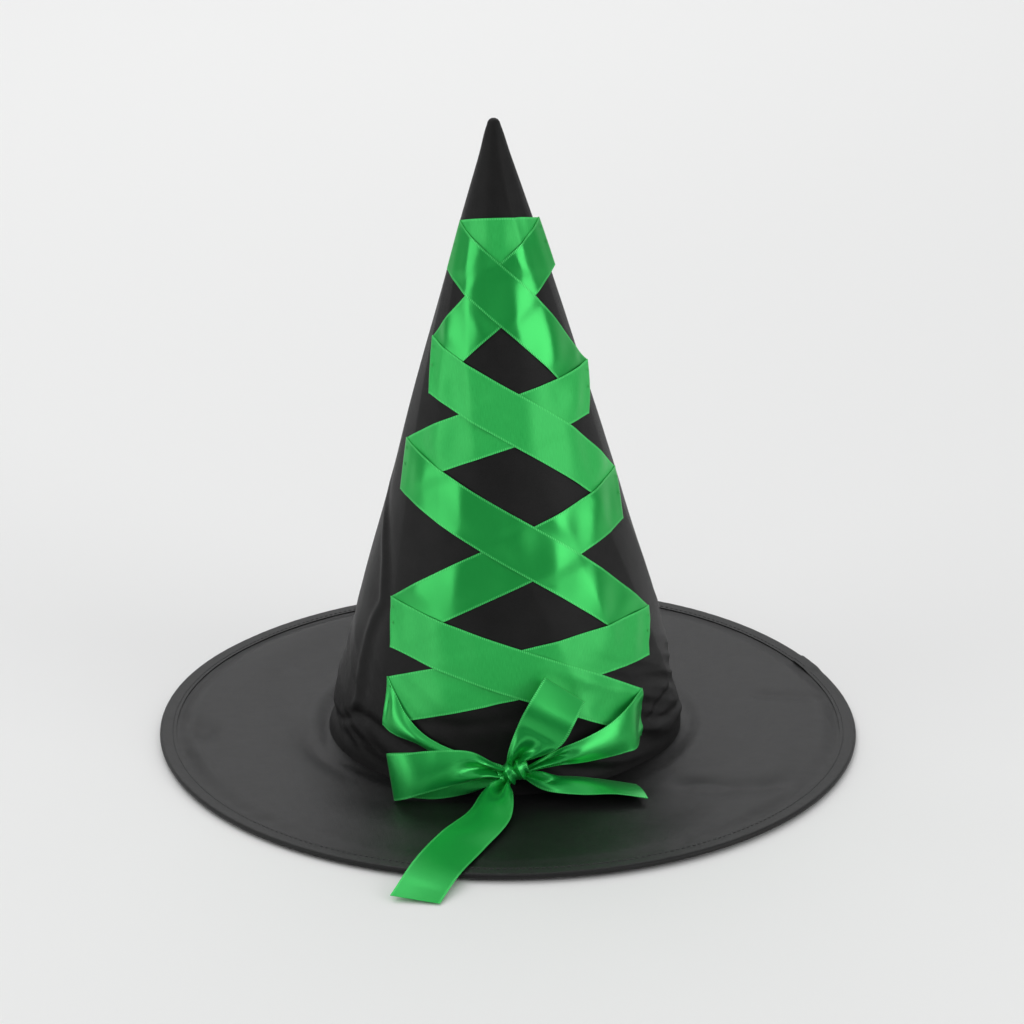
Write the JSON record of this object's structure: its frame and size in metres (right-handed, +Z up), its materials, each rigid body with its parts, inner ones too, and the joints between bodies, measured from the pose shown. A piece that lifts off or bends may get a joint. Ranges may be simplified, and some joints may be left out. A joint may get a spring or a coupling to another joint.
{
  "type": "witch hat",
  "caption": "Tall pointed black cloth hat on a wide stiff wired brim, laced in front with green satin ribbon tied in a bow.",
  "frame": {"origin": "middle of the head opening, on the plane that the brim rests on", "axes": "+Z up towards the tip, -Y to the front where the bow is, +X to the wearer's left"},
  "size_m": [0.38, 0.4042, 0.343],
  "materials": {
    "crown_taffeta": "black taffeta, fine plain weave with a low sheen",
    "brim_taffeta": "black taffeta, fine plain weave, smoothed over a stiff core",
    "binding_tape": "black folded bias tape",
    "interlining": "dark bonded non-woven stiffener",
    "black_thread": "black spun polyester thread",
    "sweatband_tape": "black twill tape",
    "satin_ribbon": "emerald green single-face satin ribbon with woven edges",
    "green_thread": "green thread tacks",
    "spring_wire": "drawn spring steel"
  },
  "bodies": {
    "hat": {"crown_cloth": "crown_taffeta", "crown_interlining": "interlining", "crown_seam_thread": "black_thread", "head_seam_thread": "black_thread", "sweatband": "sweatband_tape", "brim_under_cloth": "brim_taffeta", "brim_interlining": "interlining", "brim_top_cloth": "brim_taffeta", "brim_binding": "binding_tape", "brim_topstitch": "black_thread", "brim_wire": "spring_wire", "wire_ferrule": "spring_wire", "lace_tacks": "green_thread", "lace_top_span": "satin_ribbon", "lace_run_l1_r2": "satin_ribbon", "lace_run_r1_l2": "satin_ribbon", "lace_run_r2_l3": "satin_ribbon", "lace_run_l2_r3": "satin_ribbon", "lace_run_l3_r4": "satin_ribbon", "lace_run_r3_l4": "satin_ribbon", "lace_run_r4_l5": "satin_ribbon", "lace_run_l4_r5": "satin_ribbon", "lace_end_left": "satin_ribbon", "lace_end_right": "satin_ribbon", "bow_knot": "satin_ribbon", "bow_loop_left": "satin_ribbon", "bow_loop_upper": "satin_ribbon"},
    "lower_tail": {"bow_tail_lower": "satin_ribbon"},
    "right_tail": {"bow_tail_right": "satin_ribbon"}
  },
  "joints": [
    {"name": "lower_tail_lift", "type": "hinge", "parent": "hat", "child": "lower_tail", "pos_m": [-0.0025, -0.101, 0.015], "axis": [-1, 0, 0], "range_deg": [0, 60]},
    {"name": "right_tail_swing", "type": "hinge", "parent": "hat", "child": "right_tail", "pos_m": [0.01, -0.098, 0.015], "axis": [0, 0, -1], "range_deg": [0, 50]}
  ]
}
